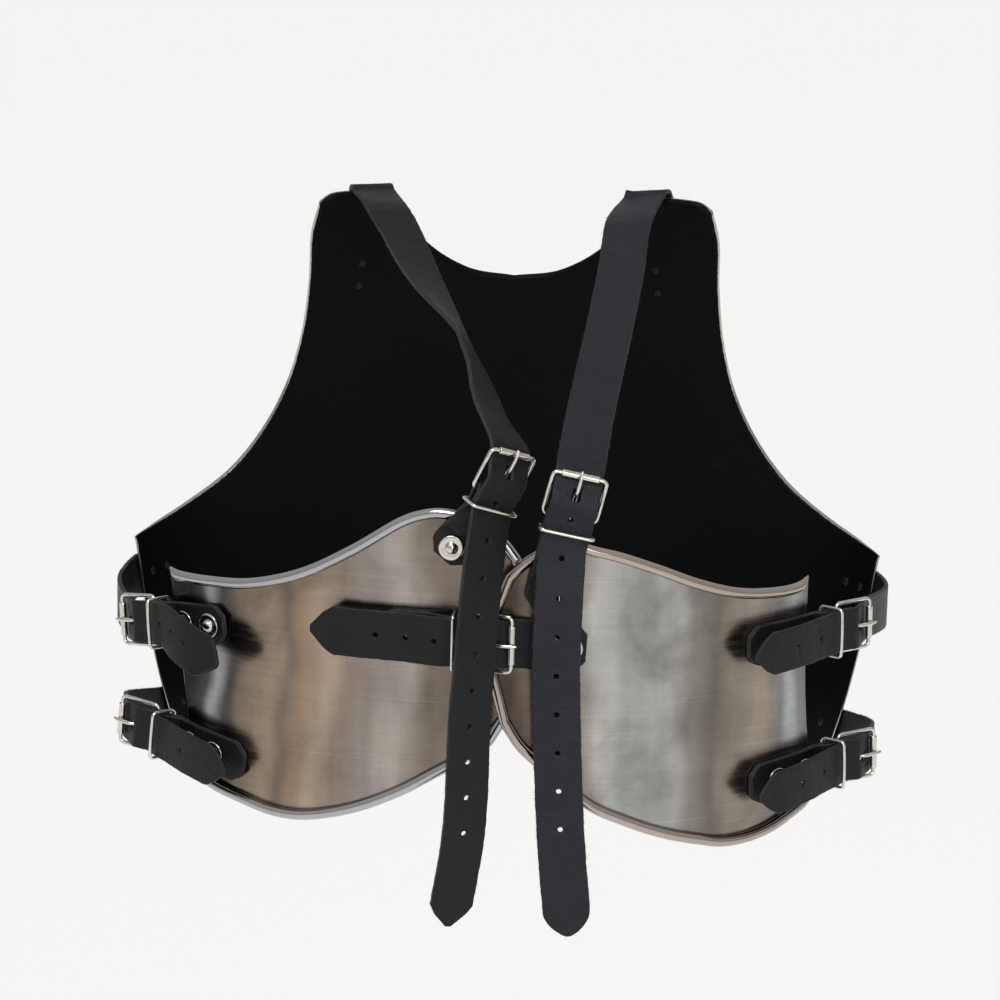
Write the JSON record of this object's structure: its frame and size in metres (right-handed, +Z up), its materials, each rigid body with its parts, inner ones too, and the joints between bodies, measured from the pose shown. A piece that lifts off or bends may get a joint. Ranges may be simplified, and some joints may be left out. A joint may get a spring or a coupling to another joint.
{
  "type": "steel cuirass with leather straps",
  "caption": "Steel breastplate and lapped back plates with rolled edges, joined over the shoulders and round the sides by black leather straps with roller buckles",
  "frame": {"origin": "on the shoulders, at the middle between the tops of the two shoulder tabs, where the cuirass hangs when it is worn", "axes": "+Z up, +X the wearer's left, -Y the way the chest faces, +Y the back, which the picture shows"},
  "size_m": [0.4443, 0.3404, 0.3801],
  "materials": {
    "steel": "brushed steel outside with faint stains, black paint inside",
    "leather": "black grained leather with a low sheen, creased, rough cut edges",
    "nickel": "nickel-plated wire and rivets, lightly tarnished"
  },
  "bodies": {
    "root": {"breastplate": "steel", "back_plate_left": "steel", "back_plate_right": "steel", "shoulder_left_buckle_frame": "nickel", "shoulder_left_buckle_roller": "nickel", "shoulder_left_buckle_prong": "nickel", "shoulder_left_keeper": "nickel", "shoulder_left_chape": "leather", "shoulder_right_buckle_frame": "nickel", "shoulder_right_buckle_roller": "nickel", "shoulder_right_buckle_prong": "nickel", "shoulder_right_keeper": "nickel", "shoulder_right_chape": "leather", "centre_buckle_frame": "nickel", "centre_buckle_roller": "nickel", "centre_buckle_prong": "nickel", "centre_keeper": "nickel", "centre_chape": "leather", "side_left_upper_buckle_frame": "nickel", "side_left_upper_buckle_roller": "nickel", "side_left_upper_buckle_prong": "nickel", "side_left_upper_keeper": "nickel", "side_left_upper_chape": "leather", "side_left_lower_buckle_frame": "nickel", "side_left_lower_buckle_roller": "nickel", "side_left_lower_buckle_prong": "nickel", "side_left_lower_keeper": "nickel", "side_left_lower_chape": "leather", "side_right_upper_buckle_frame": "nickel", "side_right_upper_buckle_roller": "nickel", "side_right_upper_buckle_prong": "nickel", "side_right_upper_keeper": "nickel", "side_right_upper_chape": "leather", "side_right_lower_buckle_frame": "nickel", "side_right_lower_buckle_roller": "nickel", "side_right_lower_buckle_prong": "nickel", "side_right_lower_keeper": "nickel", "side_right_lower_chape": "leather", "shoulder_left_chape_rivet_1": "nickel", "side_left_upper_chape_rivet_1": "nickel", "side_left_upper_chape_rivet_2": "nickel", "side_left_upper_strap": "leather", "side_left_upper_strap_rivet_1": "nickel", "side_left_upper_strap_rivet_2": "nickel", "side_left_lower_strap": "leather", "side_left_lower_strap_rivet_1": "nickel", "side_left_lower_strap_rivet_2": "nickel", "side_right_upper_strap": "leather", "side_right_upper_strap_rivet_1": "nickel", "side_right_upper_strap_rivet_2": "nickel", "side_right_lower_strap": "leather", "side_right_lower_strap_rivet_1": "nickel", "side_right_lower_strap_rivet_2": "nickel", "shoulder_left_strap": "leather", "shoulder_left_strap_rivet_1": "nickel", "shoulder_left_strap_rivet_2": "nickel", "shoulder_right_strap": "leather", "shoulder_right_strap_rivet_1": "nickel", "shoulder_right_strap_rivet_2": "nickel", "centre_strap": "leather"}
  },
  "joints": []
}
